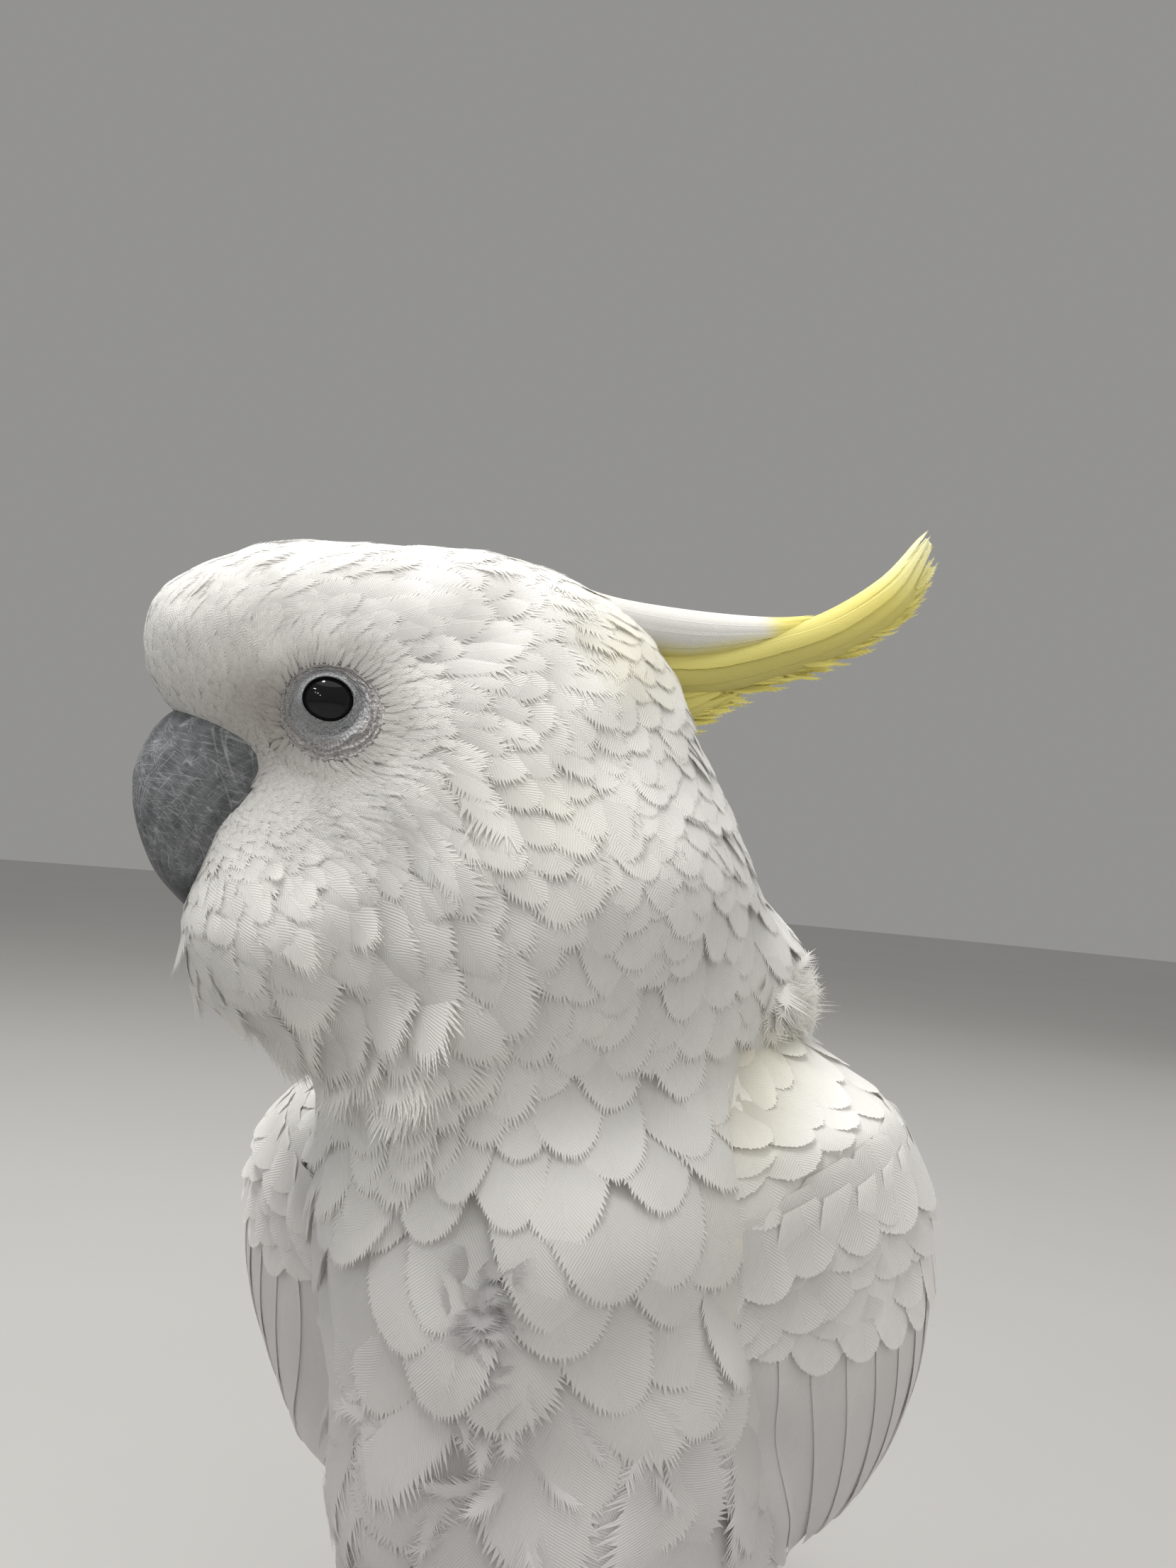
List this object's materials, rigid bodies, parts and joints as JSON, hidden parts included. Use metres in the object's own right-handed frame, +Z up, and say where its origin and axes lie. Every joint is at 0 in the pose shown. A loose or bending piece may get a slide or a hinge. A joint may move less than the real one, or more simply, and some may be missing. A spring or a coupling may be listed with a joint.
{
  "type": "cockatoo",
  "caption": "Life-size white cockatoo with a yellow recurved crest, standing on the floor with its tail laid behind and its head turned to its right.",
  "frame": {"origin": "middle of the bounding box's base, on the floor the bird stands on", "axes": "+Z up; the bird's trunk faces -Y, its left side is +X and its tail lies towards +Y"},
  "size_m": [0.1546, 0.3136, 0.2955],
  "materials": {
    "white_feather": "soft white feather",
    "yellow_crest": "soft lemon-yellow feather",
    "bill_horn": "dry dark grey horn with chalky scratches",
    "leg_scale": "grey scaled skin",
    "claw_horn": "dark smooth horn",
    "eye": "wet gloss"
  },
  "bodies": {
    "root": {"head": "white_feather", "left_eye": "eye", "right_eye": "eye", "upper_bill": "bill_horn", "lower_bill": "bill_horn", "neck": "white_feather", "trunk": "white_feather", "crest_white": "white_feather", "crest_upper_plume": "yellow_crest", "crest_lower_plume": "yellow_crest", "tail": "white_feather", "left_wing_coverts": "white_feather", "left_wing_secondaries": "white_feather", "left_wing_primaries": "white_feather", "left_thigh": "white_feather", "left_tarsus": "leg_scale", "left_inner_front_toe": "leg_scale", "left_inner_front_claw": "claw_horn", "left_outer_front_toe": "leg_scale", "left_outer_front_claw": "claw_horn", "left_outer_back_toe": "leg_scale", "left_outer_back_claw": "claw_horn", "left_inner_back_toe": "leg_scale", "left_inner_back_claw": "claw_horn", "right_wing_coverts": "white_feather", "right_wing_secondaries": "white_feather", "right_wing_primaries": "white_feather", "right_thigh": "white_feather", "right_tarsus": "leg_scale", "right_inner_front_toe": "leg_scale", "right_inner_front_claw": "claw_horn", "right_outer_front_toe": "leg_scale", "right_outer_front_claw": "claw_horn", "right_outer_back_toe": "leg_scale", "right_outer_back_claw": "claw_horn", "right_inner_back_toe": "leg_scale", "right_inner_back_claw": "claw_horn"}
  },
  "joints": []
}
